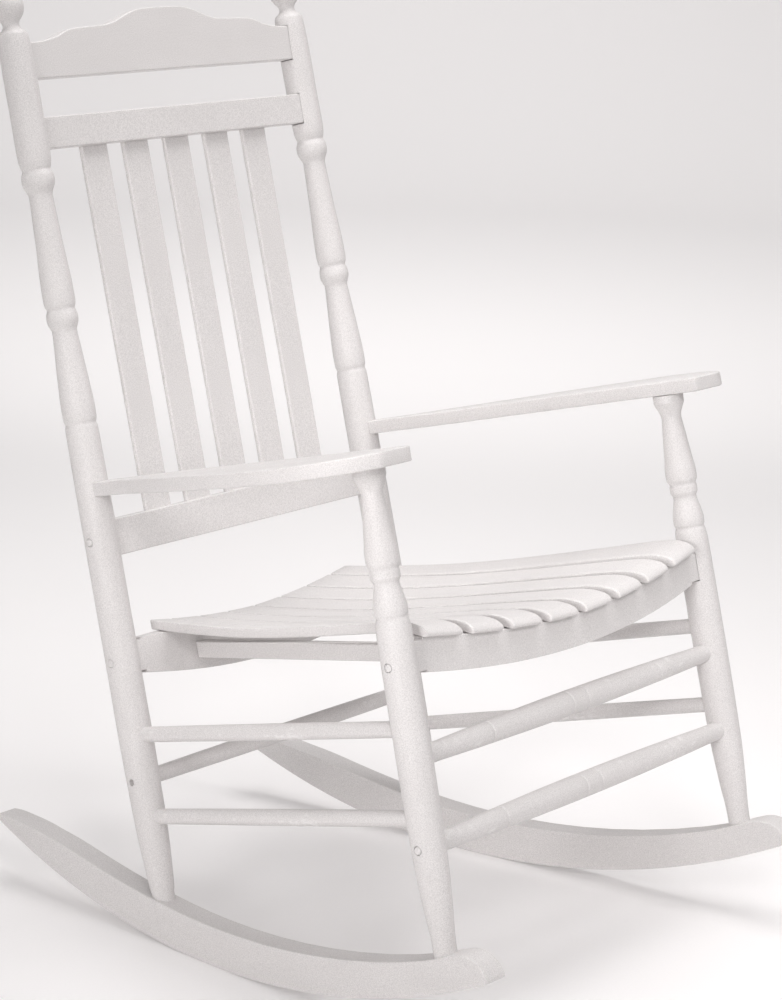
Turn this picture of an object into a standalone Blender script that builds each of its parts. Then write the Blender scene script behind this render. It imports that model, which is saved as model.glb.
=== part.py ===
"""Slat-back porch rocking chair, as separate wooden pieces with mortise-and-tenon joints, screws and plugs.

Every piece is drawn in the chair's own upright frame: X to the sitter's left, Y to the back, Z up the
posts. The chair_frame empty then leans the whole chair back on its rockers. All sizes are in metres.
"""

import math

import bmesh
import bpy
from mathutils import Vector

# How the chair stands
LEAN = math.radians(14.32)
MIDDLE_Y = 0.14918
GAP = 0.0003

# Rockers: arcs about one centre, cut into flats of FACET each
ROCKER_CENTRE_Y = -0.0671
ROCKER_CENTRE_Z = 0.9782
ROCKER_RADIUS = 0.9702
ROCKER_THICK = 0.034
FACET = math.radians(2.0)
ROCKER_NOSE_ANGLE = math.radians(-13.3)
ROCKER_TAIL_ANGLE = math.radians(38.3)
NOSE_POINTS = 6
TAIL_POINTS = 6
ROCKER_DEPTHS = (
    (-0.2913, 0.0040), (-0.2895, 0.0140), (-0.2850, 0.0235), (-0.2765, 0.0320), (-0.2640, 0.0380),
    (-0.2450, 0.0400), (-0.2000, 0.0405), (-0.0200, 0.0465), (0.1600, 0.0500), (0.3000, 0.0500),
    (0.4100, 0.0445), (0.4630, 0.0350), (0.4880, 0.0280), (0.5140, 0.0170), (0.5280, 0.0090),
    (0.5350, 0.0035),
)

# Posts: distance from the middle, place fore and aft, and splay
FRONT_POST_Y = -0.219
FRONT_POST_X = 0.3055
FRONT_SPLAY = -0.0128
REAR_POST_Y = 0.2475
REAR_POST_X = 0.2621
REAR_SPLAY = -0.0065
REAR_RAKE = 0.0073
POST_STEPS = 16
ARM_TENON_RADIUS = 0.0095
ARM_TENON_TOP = 0.6222
FOOT_RADIUS = 0.0137
FRONT_FOOT_HEIGHT = 0.062
REAR_FOOT_HEIGHT = 0.112
SOCKET_REACH = 0.060

# Each turned shape is a list of (height, radius) from the top down
FRONT_POST_PROFILE = (
    (0.6114, 0.0188), (0.6100, 0.0192), (0.6025, 0.0192), (0.5985, 0.0180), (0.5930, 0.0155),
    (0.5830, 0.0126), (0.5710, 0.0136), (0.5550, 0.0153), (0.5280, 0.0180), (0.5140, 0.0196),
    (0.5040, 0.0192), (0.4975, 0.0165), (0.4945, 0.0174), (0.4880, 0.0174), (0.4820, 0.0147),
    (0.4740, 0.0158), (0.4650, 0.0178), (0.4530, 0.0196), (0.4470, 0.0193), (0.4430, 0.0180),
    (0.4390, 0.0192), (0.4250, 0.0204), (0.3950, 0.0207), (0.2850, 0.0209), (0.2250, 0.0206),
    (0.1690, 0.0198), (0.1170, 0.0170), (0.0700, FOOT_RADIUS), (0.0370, FOOT_RADIUS),
)
REAR_POST_PROFILE = (
    (1.2305, 0.0000), (1.2290, 0.0068), (1.2245, 0.0128), (1.2170, 0.0177), (1.2085, 0.0195),
    (1.2005, 0.0182), (1.1940, 0.0145), (1.1890, 0.0108), (1.1850, 0.0101), (1.1810, 0.0120),
    (1.1775, 0.0165), (1.1730, 0.0185), (1.1600, 0.0196), (1.1150, 0.0204), (1.0730, 0.0202),
    (1.0350, 0.0205), (1.0220, 0.0200), (1.0140, 0.0184), (1.0105, 0.0172), (1.0075, 0.0184),
    (1.0040, 0.0198), (0.9980, 0.0202), (0.9920, 0.0193), (0.9860, 0.0166), (0.9800, 0.0146),
    (0.9700, 0.0148), (0.9380, 0.0160), (0.9230, 0.0165), (0.8890, 0.0185), (0.8680, 0.0194),
    (0.8540, 0.0195), (0.8460, 0.0188), (0.8410, 0.0170), (0.8380, 0.0180), (0.8340, 0.0191),
    (0.8290, 0.0194), (0.8240, 0.0186), (0.8190, 0.0166), (0.8150, 0.0152), (0.8000, 0.0160),
    (0.7650, 0.0184), (0.7400, 0.0199), (0.7220, 0.0207), (0.7070, 0.0204), (0.7010, 0.0188),
    (0.6960, 0.0201), (0.6750, 0.0204), (0.6070, 0.0208), (0.3960, 0.0210), (0.3120, 0.0212),
    (0.2580, 0.0206), (0.2000, 0.0195), (0.1390, 0.0160), (0.1240, 0.0147),
    (0.1200, FOOT_RADIUS), (0.0840, FOOT_RADIUS),
)

# Turned stretchers, between the post axes
SIDE_STRETCHER_HEIGHTS = {"upper": 0.3166, "lower": 0.2151}
SIDE_STRETCHER_RADIUS = 0.0095
FRONT_STRETCHER_HEIGHTS = {"upper": 0.2832, "lower": 0.1834}
FRONT_STRETCHER_END_RADIUS = 0.0115
FRONT_STRETCHER_MIDDLE_RADIUS = 0.0152
RING_PLACES = (0.015, 0.170)
RING_HALF_WIDTH = 0.0016
RING_DEPTH = 0.0008
REAR_STRETCHER_HEIGHT = 0.2616
REAR_STRETCHER_RADIUS = 0.0100
STRETCHER_SHORT_OF_AXIS = 0.003
STRETCHER_PLAIN_END = 0.030
STRETCHER_CURVE_STEPS = 5
TURNED_STEPS = 12

# Back: flat rails between the rear posts, and upright slats between the rails
RAIL_FRONT = -0.0096
RAIL_BACK = 0.0100
RAIL_END_SHORT_OF_AXIS = 0.006
CREST_BOTTOM = 1.1186
CREST_OUTLINE = (
    (0.236, 1.1632), (0.220, 1.1635), (0.202, 1.1662), (0.188, 1.1692), (0.174, 1.1745), (0.163, 1.1766),
    (0.148, 1.1777), (0.107, 1.1790), (0.094, 1.1808), (0.081, 1.1843), (0.066, 1.1897), (0.051, 1.1942),
    (0.038, 1.1966), (0.020, 1.1974), (0.000, 1.1976),
)
UPPER_RAIL = (1.0337, 1.0723)
LOWER_RAIL = (0.5351, 0.5800)
SLAT_CENTRES = (-0.1484, -0.0748, 0.0, 0.0748, 0.1484)
BACK_SLAT_WIDTH = 0.0447
BACK_SLAT_FRONT = 0.0010
BACK_SLAT_THICK = 0.0070
BACK_SLAT_TENON = 0.012

# Seat: dished slats on a front and a rear rail, with a side rail under each edge
SEAT_SLATS = 8
SEAT_SLAT_THICK = 0.0125
SEAT_SLAT_GAPS = (0.0165, 0.0035)
SEAT_REAR_Y = 0.2623
SEAT_REAR_HALF_WIDTH = 0.190
SEAT_FRONT_HALF_WIDTH = 0.2758
SEAT_GAPS_FRONT = (0.0, 0.0700, 0.1385, 0.2060)
SEAT_GAPS_REAR = (0.0, 0.0520, 0.1040, 0.1550)
SEAT_UNDERSIDE = (
    (-0.262, 0.3822), (-0.252, 0.3862), (-0.243, 0.3893), (-0.233, 0.3921), (-0.222, 0.3937),
    (-0.200, 0.3947), (-0.120, 0.3956), (-0.050, 0.3962), (0.020, 0.3975), (0.090, 0.4003),
    (0.165, 0.4058), (0.215, 0.4107), (0.245, 0.4142), (0.270, 0.4175),
)
SEAT_NOSE_Y = -0.2575
SEAT_FRONT_BOW = 0.22
SLAT_STATIONS = (
    -0.2455, -0.2350, -0.2200, -0.1700, -0.1000, -0.0300, 0.0400, 0.1000, 0.1500, 0.2000, 0.2340, 0.2540,
)
NOSE_STEPS = 6
DISH_POWER = 1.75
DISH = ((-0.26, 0.262), (-0.10, 0.264), (0.09, 0.286), (0.18, 0.310), (0.26, 0.325))
SEAT_GAP = 0.0005
POST_NOTCH_X = 0.2700
POST_NOTCH_Y = -0.1945
SEAT_RAIL_STEPS = 24
FRONT_RAIL_Y = (-0.2310, -0.2100)
FRONT_RAIL_BOTTOM = 0.350
FRONT_RAIL_BOW = 0.33
FRONT_RAIL_TENON = (0.3765, 0.4110)
FRONT_RAIL_SHOULDER_X = 0.2680
REAR_RAIL_Y = (0.2340, 0.2540)
REAR_RAIL_BOTTOM = 0.3655
REAR_RAIL_BOW = 0.42
REAR_RAIL_TENON = (0.3925, 0.4300)
REAR_RAIL_TOP = 0.4325
REAR_RAIL_SHOULDER_X = 0.2360
SIDE_RAIL_FRONT_X = 0.2285
SIDE_RAIL_REAR_X = 0.1455
SIDE_RAIL_THICK = 0.018
SIDE_RAIL_HEIGHT = 0.0205
SIDE_RAIL_TOP_FRONT = 0.3975
SIDE_RAIL_TOP_REAR = 0.4085

# Arms: half outlines in plan, from the inner rear corner round the front to the outer rear corner
ARM_BOTTOM = 0.6117
ARM_THICK = 0.0175
ARM_OUTLINE = (
    (0.2500, 0.2380), (0.2475, 0.1500), (0.2515, 0.0700), (0.2620, -0.0200), (0.2725, -0.1200),
    (0.2840, -0.2726), (0.3380, -0.2726), (0.3520, -0.2655), (0.3650, -0.2555), (0.3765, -0.2415),
    (0.3855, -0.2245), (0.3912, -0.2075), (0.3940, -0.1880), (0.3930, -0.1560), (0.3860, -0.1180),
    (0.3745, -0.0720), (0.3590, -0.0230), (0.3410, 0.0280), (0.3220, 0.0780), (0.3025, 0.1280),
    (0.2855, 0.1750), (0.2755, 0.2120), (0.2720, 0.2380),
)
ARM_DOWEL_RADIUS = 0.0065
ARM_DOWEL_HALF = 0.013
ARM_COPE_RADIUS = 0.0211

# Screws and plugs
SCREW_HEAD_RADIUS = 0.0040
SCREW_SHANK_RADIUS = 0.0020
SCREW_TIP_RADIUS = 0.0008
SCREW_LENGTH = 0.040
SCREW_HEAD_EDGE = 0.0006
SCREW_CONE = 0.0026
SCREW_POINT = 0.005
PILOT_RADIUS = 0.0024
FOOT_BORE_DEPTH = 0.0062
SCREW_STEPS = 12
COUNTERBORE_RADIUS = 0.0048
COUNTERBORE_DEPTH = 0.0068
PLUG_LENGTH = 0.0042
CROSS_SCREWS = (
    ("front_rail", "front_seat_rail", "front", 0.3895, True),
    ("front_stretcher", "front_stretcher_lower", "front", FRONT_STRETCHER_HEIGHTS["lower"], True),
    ("back_rail", "lower_back_rail", "rear", 0.5576, True),
    ("rear_rail", "rear_seat_rail", "rear", 0.4088, True),
    ("rear_stretcher", "rear_stretcher", "rear", REAR_STRETCHER_HEIGHT, False),
)

EDGE_ROUND = 0.0012
ARM_EDGE_ROUND = 0.0025
END_CHAMFER = 0.001
CUTTER_REACH = 0.040
SIDES = (("left", 1), ("right", -1))


def clear_scene():
    for item in list(bpy.data.objects):
        bpy.data.objects.remove(item)


def new_collection(name):
    collection = bpy.data.collections.new(name)
    bpy.context.scene.collection.children.link(collection)
    return collection


def paint(name, colour, roughness, metallic):
    material = bpy.data.materials.new(name)
    material.use_nodes = True
    shader = material.node_tree.nodes["Principled BSDF"]
    shader.inputs["Base Color"].default_value = (*colour, 1.0)
    shader.inputs["Roughness"].default_value = roughness
    shader.inputs["Metallic"].default_value = metallic
    return material


def white_paint(name):
    return paint(name + "_paint", (0.80, 0.78, 0.77), 0.42, 0.0)


def zinc(name):
    return paint(name + "_zinc", (0.42, 0.42, 0.43), 0.35, 1.0)


def place(name, mesh, material=None):
    """Adds a mesh to the chair or, with no material, as a hidden cutter."""
    item = bpy.data.objects.new(name, mesh)
    item.parent = frame
    if material is None:
        cutters.objects.link(item)
        item.hide_render = True
        item.display_type = "WIRE"
    else:
        chair.objects.link(item)
        mesh.materials.append(material)
    return item


def mesh_between(name, first, second, panels=None):
    """A closed body between two matching outlines, with a cap on each, in one face or in panels."""
    body = bmesh.new()
    rows = [[body.verts.new(point) for point in outline] for outline in (first, second)]
    count = len(first)
    for panel in panels or [range(count)]:
        body.faces.new([rows[0][i] for i in panel])
        body.faces.new([rows[1][i] for i in reversed(panel)])
    for i in range(count):
        after = (i + 1) % count
        body.faces.new((rows[0][after], rows[0][i], rows[1][i], rows[1][after]))
    bmesh.ops.recalc_face_normals(body, faces=body.faces)
    mesh = bpy.data.meshes.new(name)
    body.to_mesh(mesh)
    body.free()
    return mesh


def box_outline(x_low, x_high, z_low, z_high, y):
    return [(x_low, y, z_low), (x_high, y, z_low), (x_high, y, z_high), (x_low, y, z_high)]


def box_cutter(name, xs, ys, zs):
    return place(name, mesh_between(name, *(box_outline(*xs, *zs, y) for y in ys)))


def soften(item, width=EDGE_ROUND):
    bevel = item.modifiers.new("soften", "BEVEL")
    bevel.width = width
    bevel.segments = 1
    bevel.limit_method = "ANGLE"
    bevel.angle_limit = math.radians(40)


def cut(item, cutter):
    boolean = item.modifiers.new(cutter.name, "BOOLEAN")
    boolean.operation = "DIFFERENCE"
    boolean.solver = "EXACT"
    boolean.object = cutter


def turned(name, profile, steps, material=None):
    """Turns a list of (height, radius) about Z, from the top down, closing both ends."""
    points = [(radius, 0.0, height) for height, radius in profile]
    if points[0][0] > 0:
        points.insert(0, (0.0, 0.0, points[0][2]))
    if points[-1][0] > 0:
        points.append((0.0, 0.0, points[-1][2]))
    mesh = bpy.data.meshes.new(name)
    mesh.from_pydata(points, [(i, i + 1) for i in range(len(points) - 1)], [])
    item = place(name, mesh, material)
    screw = item.modifiers.new("turn", "SCREW")
    screw.steps = steps
    screw.render_steps = steps
    screw.use_merge_vertices = True
    screw.merge_threshold = 0.00001
    return item


def aim(item, start, direction):
    item.location = start
    item.rotation_euler = Vector((0, 0, 1)).rotation_difference(Vector(direction)).to_euler()


def post_profile(which):
    return FRONT_POST_PROFILE if which == "front" else REAR_POST_PROFILE


def post_point(which, side, height):
    """A point on the axis of one post, at a height in the chair's frame."""
    if which == "front":
        return Vector((side * (FRONT_POST_X + FRONT_SPLAY * height), FRONT_POST_Y, height))
    return Vector((side * (REAR_POST_X + REAR_SPLAY * height), REAR_POST_Y + REAR_RAKE * height, height))


def rail_y(height):
    """How far back the rear posts' axes are at a height."""
    return post_point("rear", 1, height).y


def interpolate(stations, place_at):
    """Smooth value at a place between (place, value) stations."""
    for i in range(len(stations) - 2, -1, -1):
        if place_at >= stations[i][0] or i == 0:
            break
    before = stations[max(i - 1, 0)]
    start, end = stations[i], stations[i + 1]
    after = stations[min(i + 2, len(stations) - 1)]
    span = end[0] - start[0]
    t = (place_at - start[0]) / span
    slope_in = (end[1] - before[1]) / (end[0] - before[0]) * span
    slope_out = (after[1] - start[1]) / (after[0] - start[0]) * span
    return (
        (2 * t**3 - 3 * t**2 + 1) * start[1]
        + (t**3 - 2 * t**2 + t) * slope_in
        + (3 * t**2 - 2 * t**3) * end[1]
        + (t**3 - t**2) * slope_out
    )


def front_bow(x):
    """How far back the seat's front edge is at x, against its middle, as a share of the seat's length."""
    return SEAT_FRONT_BOW * x * x / (SEAT_REAR_Y - SEAT_NOSE_Y)


def bowed(x, y):
    """Where a place on a seat with a straight front goes on this one, whose front edge is bowed."""
    return y + front_bow(x) * (SEAT_REAR_Y - y)


def seat_under(x, y):
    """Height of the slats' underside."""
    straight_y = (y - front_bow(x) * SEAT_REAR_Y) / (1 - front_bow(x))
    return interpolate(SEAT_UNDERSIDE, straight_y) + interpolate(DISH, straight_y) * abs(x) ** DISH_POWER


def side_line(y):
    """Distance of a side's middle plane from the chair's middle, which narrows to the back."""
    front = post_point("front", 1, FRONT_FOOT_HEIGHT)
    rear = post_point("rear", 1, REAR_FOOT_HEIGHT)
    return front.x + (rear.x - front.x) * (y - front.y) / (rear.y - front.y)


def rocker_outline(x_shift):
    """The rocker's outline in one of its two faces: flats below, a deeper curve above, rounded tips."""
    corner_radius = ROCKER_RADIUS / math.cos(FACET / 2)
    before = math.floor((LEAN - ROCKER_NOSE_ANGLE) / FACET - 0.5)
    after = math.floor((ROCKER_TAIL_ANGLE - LEAN) / FACET - 0.5)
    corners = [LEAN + (i + 0.5) * FACET for i in range(-before - 1, after + 1)]
    below = [arc_point(angle, corner_radius) for angle in [ROCKER_NOSE_ANGLE] + corners + [ROCKER_TAIL_ANGLE]]
    depths = [(math.asin((y - ROCKER_CENTRE_Y) / ROCKER_RADIUS), depth) for y, depth in ROCKER_DEPTHS]
    above = list(depths)
    for angle in corners:
        if depths[NOSE_POINTS - 1][0] + FACET / 2 < angle < depths[-TAIL_POINTS][0]:
            above.append((angle, interpolate(depths, angle)))
    above = [arc_point(angle, ROCKER_RADIUS - depth) for angle, depth in sorted(set(above))]
    loop = below + above[::-1]
    return [(side_line(y) + x_shift, y, z) for y, z in loop]


def arc_point(angle, radius):
    """A point on an arc about the rockers' centre, at an angle back from straight down the posts."""
    return ROCKER_CENTRE_Y + radius * math.sin(angle), ROCKER_CENTRE_Z - radius * math.cos(angle)


def rocker(side_name, side):
    outlines = [rocker_outline(shift) for shift in (-ROCKER_THICK / 2, ROCKER_THICK / 2)]
    outlines = [[(side * x, y, z) for x, y, z in outline] for outline in outlines]
    name = "rocker_" + side_name
    item = place(name, mesh_between(name, *outlines), white_paint(name))
    for which in ("front", "rear"):
        foot = post_profile(which)[-1][0]
        radius = FOOT_RADIUS + GAP
        profile = ((foot + SOCKET_REACH, radius), (foot - GAP, radius))
        hole = turned(f"socket_{which}_{side_name}", profile, POST_STEPS)
        aim_along_post(hole, which, side)
        cut(item, hole)
        cut(item, foot_screw_hole(which, side_name, side))
    return item


def aim_along_post(item, which, side):
    base = post_point(which, side, 0.0)
    aim(item, base, post_point(which, side, 1.0) - base)


def rocker_bottom(y):
    reach = y - ROCKER_CENTRE_Y
    return ROCKER_CENTRE_Z - math.sqrt(ROCKER_RADIUS**2 - reach**2)


def foot_screw_base(which):
    y = post_point(which, 1, FRONT_FOOT_HEIGHT).y
    return rocker_bottom(y) + FOOT_BORE_DEPTH


def screw_profile(head, direction=-1):
    """A countersunk screw whose head face is at one height and whose tip points along Z."""
    steps = (
        (0.0, SCREW_HEAD_RADIUS - SCREW_HEAD_EDGE),
        (SCREW_HEAD_EDGE, SCREW_HEAD_RADIUS),
        (SCREW_HEAD_EDGE + SCREW_CONE, SCREW_SHANK_RADIUS),
        (SCREW_LENGTH - SCREW_POINT, SCREW_SHANK_RADIUS - GAP),
        (SCREW_LENGTH, SCREW_TIP_RADIUS),
    )
    profile = [(head + direction * along, radius) for along, radius in steps]
    return profile if direction < 0 else profile[::-1]


def bore_profile(head, face, direction=-1):
    """The hole for a screw: a counterbore from the face down to the head, then a clearance hole."""
    steps = (
        (head - direction * abs(face - head) * 3, COUNTERBORE_RADIUS),
        (head + direction * SCREW_HEAD_EDGE, COUNTERBORE_RADIUS),
        (head + direction * (2 * SCREW_HEAD_EDGE + SCREW_CONE), PILOT_RADIUS),
        (head + direction * (SCREW_LENGTH + GAP), PILOT_RADIUS),
    )
    return steps if direction < 0 else steps[::-1]


def foot_screw(which, side_name, side):
    name = f"foot_screw_{which}_{side_name}"
    item = turned(name, screw_profile(foot_screw_base(which), 1), SCREW_STEPS, zinc(name))
    aim_along_post(item, which, side)


def foot_screw_hole(which, side_name, side):
    base = foot_screw_base(which)
    profile = bore_profile(base, base - FOOT_BORE_DEPTH, 1)
    hole = turned(f"foot_bore_{which}_{side_name}", profile, SCREW_STEPS)
    aim_along_post(hole, which, side)
    return hole


def stretcher_profile(half, end_radius, middle_radius, rings):
    """Half lengths of a turned stretcher about its middle, swelling to the middle, with cut rings."""
    swell = half - STRETCHER_PLAIN_END
    places = {half} | {swell * i / STRETCHER_CURVE_STEPS for i in range(STRETCHER_CURVE_STEPS + 1)}
    grooves = {}
    for ring in rings:
        grooves.update({ring - RING_HALF_WIDTH: 0.0, ring: RING_DEPTH, ring + RING_HALF_WIDTH: 0.0})
    places = {spot for spot in places if all(abs(spot - ring) > 4 * RING_HALF_WIDTH for ring in rings)}
    profile = []
    for spot in sorted(places | set(grooves)):
        share = max(0.0, 1 - spot / swell)
        radius = end_radius + (middle_radius - end_radius) * math.sin(share * math.pi / 2)
        profile.append((spot, radius - grooves.get(spot, 0.0)))
    low = [(-spot, radius) for spot, radius in profile if spot > 0]
    return profile[::-1] + low


def stretcher(name, start, end, end_radius, middle_radius, rings=()):
    """A turned stretcher between two post axes, stopping just short of each."""
    along = end - start
    half = along.length / 2 - STRETCHER_SHORT_OF_AXIS
    item = turned(
        name, stretcher_profile(half, end_radius, middle_radius, rings), TURNED_STEPS, white_paint(name)
    )
    aim(item, (start + end) / 2, along)
    return item


def stretcher_hole(name, start, end, radius):
    """The hole for a stretcher's end in the post at start."""
    profile = ((CUTTER_REACH, radius + GAP), (STRETCHER_SHORT_OF_AXIS - GAP, radius + GAP))
    hole = turned(name, profile, TURNED_STEPS)
    aim(hole, start, end - start)
    return hole


def stretcher_plan():
    """Every stretcher: name, the posts and sides it joins, height, end and middle radius, rings."""
    plan = []
    for level, height in SIDE_STRETCHER_HEIGHTS.items():
        for side_name, side in SIDES:
            ends = (("front", side), ("rear", side))
            radii = (SIDE_STRETCHER_RADIUS, SIDE_STRETCHER_RADIUS + 0.0005)
            plan.append((f"side_stretcher_{level}_{side_name}", ends, height, radii, ()))
    for level, height in FRONT_STRETCHER_HEIGHTS.items():
        ends = (("front", -1), ("front", 1))
        radii = (FRONT_STRETCHER_END_RADIUS, FRONT_STRETCHER_MIDDLE_RADIUS)
        plan.append((f"front_stretcher_{level}", ends, height, radii, RING_PLACES))
    ends = (("rear", -1), ("rear", 1))
    radii = (REAR_STRETCHER_RADIUS, REAR_STRETCHER_RADIUS + 0.001)
    plan.append(("rear_stretcher", ends, REAR_STRETCHER_HEIGHT, radii, ()))
    return plan


def rail_mortises(which, side):
    """Sockets that hold the ends of the flat rails in one post: (name, y range, z range)."""
    if which == "front":
        return [("front_seat_rail", FRONT_RAIL_Y, FRONT_RAIL_TENON)]
    found = [("rear_seat_rail", REAR_RAIL_Y, REAR_RAIL_TENON)]
    crest = (CREST_BOTTOM, CREST_OUTLINE[0][1])
    for name, levels in (("lower_rail", LOWER_RAIL), ("upper_rail", UPPER_RAIL), ("crest", crest)):
        middle = rail_y(sum(levels) / 2)
        found.append((name, (middle + RAIL_FRONT, middle + RAIL_BACK), levels))
    return found


def rail_end_x(which, height):
    return post_point(which, 1, height).x - RAIL_END_SHORT_OF_AXIS


def post(which, side_name, side):
    profile = post_profile(which)
    if which == "front":
        profile = (
            (ARM_TENON_TOP, ARM_TENON_RADIUS - END_CHAMFER), (ARM_TENON_TOP - END_CHAMFER, ARM_TENON_RADIUS),
            (profile[0][0], ARM_TENON_RADIUS),
        ) + profile
    name = f"{which}_post_{side_name}"
    item = turned(name, profile, POST_STEPS, white_paint(name))
    aim_along_post(item, which, side)
    for stretcher_name, ends, height, radii, _ in stretcher_plan():
        if (which, side) in ends:
            other = ends[1] if ends[0] == (which, side) else ends[0]
            start, end = post_point(which, side, height), post_point(*other, height)
            cut(item, stretcher_hole(f"hole_{stretcher_name}_{name}", start, end, radii[0]))
    for rail_name, ys, zs in rail_mortises(which, side):
        inner = rail_end_x(which, sum(zs) / 2) + GAP
        xs = sorted((side * inner, side * (inner - CUTTER_REACH)))
        ys = (ys[0] - GAP, ys[1] + GAP)
        zs = (zs[0] - GAP, zs[1] + GAP)
        cut(item, box_cutter(f"mortise_{rail_name}_{name}", xs, ys, zs))
    cut(item, foot_screw_hole_in_post(which, side_name, side))
    if which == "rear":
        cut(item, dowel_hole(side_name, side))
    return item


def foot_screw_hole_in_post(which, side_name, side):
    base = foot_screw_base(which)
    profile = ((base + SCREW_LENGTH + GAP, PILOT_RADIUS), (base, PILOT_RADIUS))
    hole = turned(f"foot_pilot_{which}_{side_name}", profile, SCREW_STEPS)
    aim_along_post(hole, which, side)
    return hole


def flat_piece(name, front, back, edge=EDGE_ROUND):
    item = place(name, mesh_between(name, front, back), white_paint(name))
    if edge:
        soften(item, edge)
    return item


def at_depth(outline, y):
    return [(x, y, z) for x, z in outline]


def back_rail(name, levels, top_outline=None):
    """A flat rail between the rear posts, whose ends sit in the posts' mortises."""
    reach = rail_end_x("rear", sum(levels) / 2)
    middle = rail_y(sum(levels) / 2)
    outline = [(-reach, levels[0]), (reach, levels[0]), (reach, levels[1])]
    if top_outline:
        half = list(top_outline)
        outline += half + [(-x, z) for x, z in half[-2::-1]]
    outline.append((-reach, levels[1]))
    return flat_piece(name, at_depth(outline, middle + RAIL_FRONT), at_depth(outline, middle + RAIL_BACK))


def slat_y():
    """Front face of the back slats at the heights of their two ends."""
    return rail_y(LOWER_RAIL[1]) + BACK_SLAT_FRONT, rail_y(UPPER_RAIL[0]) + BACK_SLAT_FRONT


def back_slat(number, centre):
    low_y, high_y = slat_y()
    low, high = LOWER_RAIL[1] - BACK_SLAT_TENON, UPPER_RAIL[0] + BACK_SLAT_TENON
    half = BACK_SLAT_WIDTH / 2
    loops = []
    for behind in (0.0, BACK_SLAT_THICK):
        bottom = [(centre - half, low_y + behind, low), (centre + half, low_y + behind, low)]
        top = [(centre + half, high_y + behind, high), (centre - half, high_y + behind, high)]
        loops.append(bottom + top)
    name = f"back_slat_{number}"
    item = place(name, mesh_between(name, *loops), white_paint(name))
    soften(item)


def slat_mortise(rail_name, centre, at_top):
    low_y, high_y = slat_y()
    y = high_y if at_top else low_y
    level = UPPER_RAIL[0] if at_top else LOWER_RAIL[1]
    inside = 1 if at_top else -1
    half = BACK_SLAT_WIDTH / 2 + GAP
    zs = sorted((level - inside * CUTTER_REACH, level + inside * (BACK_SLAT_TENON + GAP)))
    ys = (y - 2 * GAP, y + BACK_SLAT_THICK + 2 * GAP)
    return box_cutter(f"{rail_name}_mortise_{centre:+.3f}", (centre - half, centre + half), ys, zs)


def rail_panels(steps):
    """Faces across the outline of a seat rail: low edge, right tenon, high edge, left tenon."""
    right = steps + 1
    high = right + 4
    left = high + steps + 1
    panels = [(i, i + 1, left - 2 - i, left - 1 - i) for i in range(1, steps - 1)]
    panels.append((steps - 1, steps, right, right + 3, high, high + 1))
    panels.append((0, 1, left - 2, left - 1, left, left + 3))
    panels += [tuple(range(right, right + 4)), tuple(range(left, left + 4))]
    return panels


def seat_rail(name, which, ys, bottom, bow, tenon, shoulder, face_bow=0.0, highest=math.inf):
    """A seat rail with a bowed lower edge and a top that follows the underside of the slats."""
    reach = rail_end_x(which, sum(tenon) / 2)
    places = [-shoulder + 2 * shoulder * i / SEAT_RAIL_STEPS for i in range(SEAT_RAIL_STEPS + 1)]
    loops = []
    for y, forward in zip(ys, (face_bow, 0.0)):
        line = [(x, y - forward * (shoulder**2 - x * x)) for x in places]
        low = [(x, y, bottom + bow * x * x) for x, y in line]
        high = [(x, y, min(seat_under(x, y) - SEAT_GAP, highest)) for x, y in line[::-1]]
        right = [(reach, y, tenon[0]), (reach, y, tenon[1])]
        right = [(shoulder, y, tenon[0])] + right + [(shoulder, y, tenon[1])]
        left = [(-x, y, z) for x, y, z in right[::-1]]
        loops.append(low + right + high + left)
    mesh = mesh_between(name, *loops, panels=rail_panels(SEAT_RAIL_STEPS))
    return place(name, mesh, white_paint(name))


def seat_side_rail(side_name, side):
    """A straight rail under the outer slats, butted and dowelled between the two seat rails."""
    front_y, rear_y = FRONT_RAIL_Y[1] + GAP, REAR_RAIL_Y[0] - GAP
    loops = []
    for inward in (0.0, SIDE_RAIL_THICK):
        front_x, rear_x = side * (SIDE_RAIL_FRONT_X - inward), side * (SIDE_RAIL_REAR_X - inward)
        low_front, low_rear = SIDE_RAIL_TOP_FRONT - SIDE_RAIL_HEIGHT, SIDE_RAIL_TOP_REAR - SIDE_RAIL_HEIGHT
        loops.append([
            (front_x, front_y, low_front), (rear_x, rear_y, low_rear),
            (rear_x, rear_y, SIDE_RAIL_TOP_REAR), (front_x, front_y, SIDE_RAIL_TOP_FRONT),
        ])
    flat_piece(f"seat_side_rail_{side_name}", *loops)


def slat_edge(edge, y):
    """Where the middle of a gap between slats runs, or an outer edge of the seat, counted from the right."""
    from_middle = edge - SEAT_SLATS // 2
    count = abs(from_middle)
    front, rear = SEAT_FRONT_HALF_WIDTH, SEAT_REAR_HALF_WIDTH
    if count < len(SEAT_GAPS_FRONT):
        front, rear = SEAT_GAPS_FRONT[count], SEAT_GAPS_REAR[count]
    share = (y - SEAT_NOSE_Y) / (SEAT_REAR_Y - SEAT_NOSE_Y)
    return math.copysign(front + (rear - front) * share, from_middle)


def slat_gap(y):
    """The slats fan out, so the gaps between them widen to the front."""
    front, rear = SEAT_SLAT_GAPS
    return front + (rear - front) * (y - SEAT_NOSE_Y) / (SEAT_REAR_Y - SEAT_NOSE_Y)


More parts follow.
